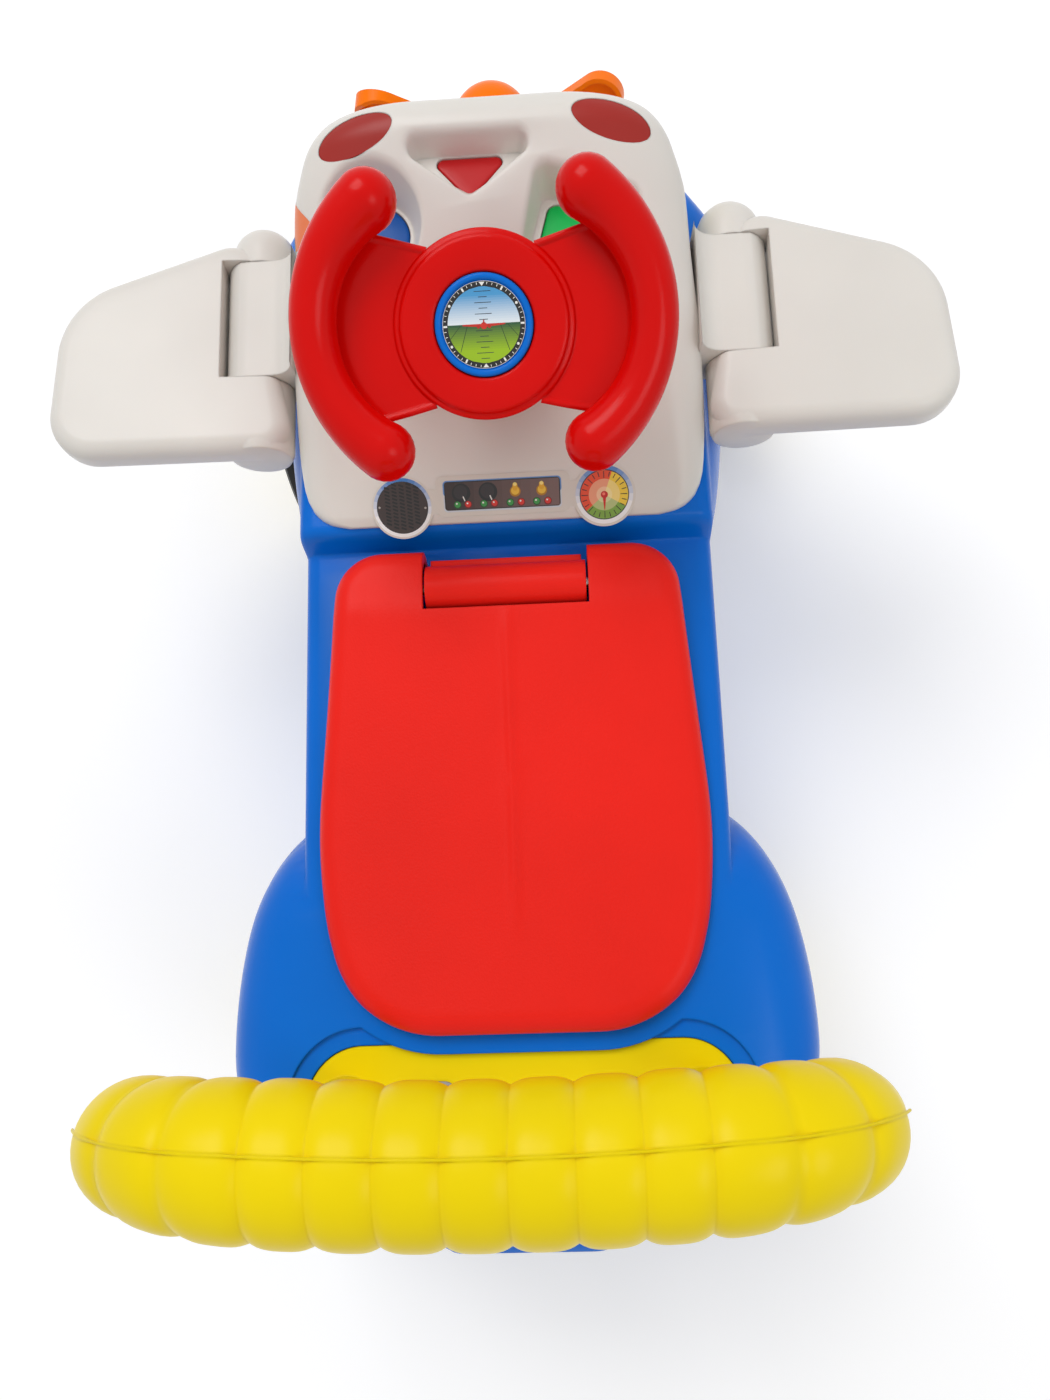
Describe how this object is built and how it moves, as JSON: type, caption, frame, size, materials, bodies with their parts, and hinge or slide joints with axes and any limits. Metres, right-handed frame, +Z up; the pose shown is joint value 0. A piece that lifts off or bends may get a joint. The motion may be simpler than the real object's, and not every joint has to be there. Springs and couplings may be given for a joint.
{
  "type": "ride-on toy aeroplane",
  "caption": "Toddler's ride-on aeroplane: blue hollow body, white cowl, folding wings, lift-up seat over a bin, ribbed push handle, steering wheel, propeller and wheels.",
  "frame": {"origin": "on the floor, under the middle of the bounding box", "axes": "+Y towards the nose and propeller, +X the rider's right hand, +Z up"},
  "size_m": [0.481, 0.645, 0.4736],
  "materials": {
    "blue_body": "moulded, satin gloss",
    "white_shell": "moulded, satin gloss",
    "red_seat": "moulded, fine satin grain",
    "red_wheel": "moulded, glossy",
    "yellow": "moulded, satin gloss",
    "orange": "moulded, satin gloss",
    "black_tyre": "blow-moulded, satin",
    "black_part": "moulded, satin",
    "steel": "drawn rod, bright",
    "green_button": "moulded, satin gloss",
    "blue_button": "moulded, satin gloss",
    "grey_cap": "moulded, satin",
    "lamp_red": "moulded, translucent look, glossy",
    "label": "printed film, satin"
  },
  "bodies": {
    "body": {"body_shell": "blue_body", "chassis_pan": "blue_body", "storage_bin": "blue_body", "seat_hinge_block": "red_seat", "seat_hinge_pin": "steel", "cowl": "white_shell", "dash_label": "label", "lamp_lens_left": "lamp_red", "lamp_lens_right": "lamp_red", "sound_module": "black_part", "speaker": "black_part", "round_spring": "steel", "triangle_spring": "steel", "square_spring": "steel", "wing_root_left": "white_shell", "wing_root_right": "white_shell", "wing_pin_left": "steel", "wing_pin_right": "steel", "rear_axle": "steel", "push_handle": "yellow", "handle_caps": "grey_cap", "handle_screws": "steel", "battery_box": "black_part", "battery_door": "blue_body", "chassis_screws": "steel"},
    "lid": {"seat_lid": "red_seat"},
    "round": {"round_button": "blue_button"},
    "triangle": {"triangle_button": "red_wheel"},
    "square": {"square_button": "green_button"},
    "steering": {"steering_wheel": "red_wheel", "steering_shaft": "steel", "shaft_clip": "black_part", "horn_spring": "steel"},
    "horn": {"horn_button": "blue_button", "horn_dial": "label"},
    "left_wing": {"wing_left": "white_shell"},
    "right_wing": {"wing_right": "white_shell"},
    "prop": {"propeller": "orange", "propeller_shaft": "steel"},
    "truck": {"front_truck": "black_part", "kingpin": "steel", "kingpin_clip": "steel", "front_axle": "steel"},
    "front_left": {"front_wheel_left": "black_tyre", "front_cap_left": "yellow"},
    "front_right": {"front_wheel_right": "black_tyre", "front_cap_right": "yellow"},
    "rear_left": {"rear_wheel_left": "black_tyre", "rear_cap_left": "yellow"},
    "rear_right": {"rear_wheel_right": "black_tyre", "rear_cap_right": "yellow"}
  },
  "joints": [
    {"name": "seat_lid_hinge", "type": "hinge", "parent": "body", "child": "lid", "pos_m": [0, 0.0215, 0.2351], "axis": [-1, 0, 0], "range_deg": [0, 80]},
    {"name": "steering_turn", "type": "hinge", "parent": "body", "child": "steering", "pos_m": [0, 0.10919, 0.34814], "axis": [0, -0.4446, 0.8957], "range_deg": [-40, 40]},
    {"name": "horn_press", "type": "slide", "parent": "steering", "child": "horn", "axis": [0, -0.4446, 0.8957], "range_m": [-0.0025, 0], "stiffness_N_per_m": 400, "springref_m": 0.0005},
    {"name": "round_press", "type": "slide", "parent": "body", "child": "round", "axis": [0, 0, -1], "range_m": [0, 0.003], "stiffness_N_per_m": 400, "springref_m": -0.001, "deforming": ["round_spring"]},
    {"name": "triangle_press", "type": "slide", "parent": "body", "child": "triangle", "axis": [0, 0, -1], "range_m": [0, 0.003], "stiffness_N_per_m": 400, "springref_m": -0.001, "deforming": ["triangle_spring"]},
    {"name": "square_press", "type": "slide", "parent": "body", "child": "square", "axis": [0, 0, -1], "range_m": [0, 0.003], "stiffness_N_per_m": 400, "springref_m": -0.001, "deforming": ["square_spring"]},
    {"name": "left_wing_fold", "type": "hinge", "parent": "body", "child": "left_wing", "pos_m": [-0.13, 0.1585, 0.252], "axis": [0, 1, 0], "range_deg": [0, 75]},
    {"name": "right_wing_fold", "type": "hinge", "parent": "body", "child": "right_wing", "pos_m": [0.13, 0.1585, 0.252], "axis": [0, -1, 0], "range_deg": [0, 75]},
    {"name": "propeller_spin", "type": "hinge", "parent": "body", "child": "prop", "pos_m": [0, 0.2785, 0.245], "axis": [0, 1, 0], "continuous": true},
    {"name": "front_swivel", "type": "hinge", "parent": "body", "child": "truck", "pos_m": [0, 0.2195, 0.09], "axis": [0, 0, 1], "range_deg": [-25, 3]},
    {"name": "front_left_spin", "type": "hinge", "parent": "truck", "child": "front_left", "pos_m": [-0.15215, 0.18992, 0.062], "axis": [0.9816, 0.1908, 0], "continuous": true},
    {"name": "front_right_spin", "type": "hinge", "parent": "truck", "child": "front_right", "pos_m": [0.15215, 0.24908, 0.062], "axis": [0.9816, 0.1908, 0], "continuous": true},
    {"name": "rear_left_spin", "type": "hinge", "parent": "body", "child": "rear_left", "pos_m": [-0.136, -0.2065, 0.062], "axis": [1, 0, 0], "continuous": true},
    {"name": "rear_right_spin", "type": "hinge", "parent": "body", "child": "rear_right", "pos_m": [0.136, -0.2065, 0.062], "axis": [1, 0, 0], "continuous": true}
  ]
}
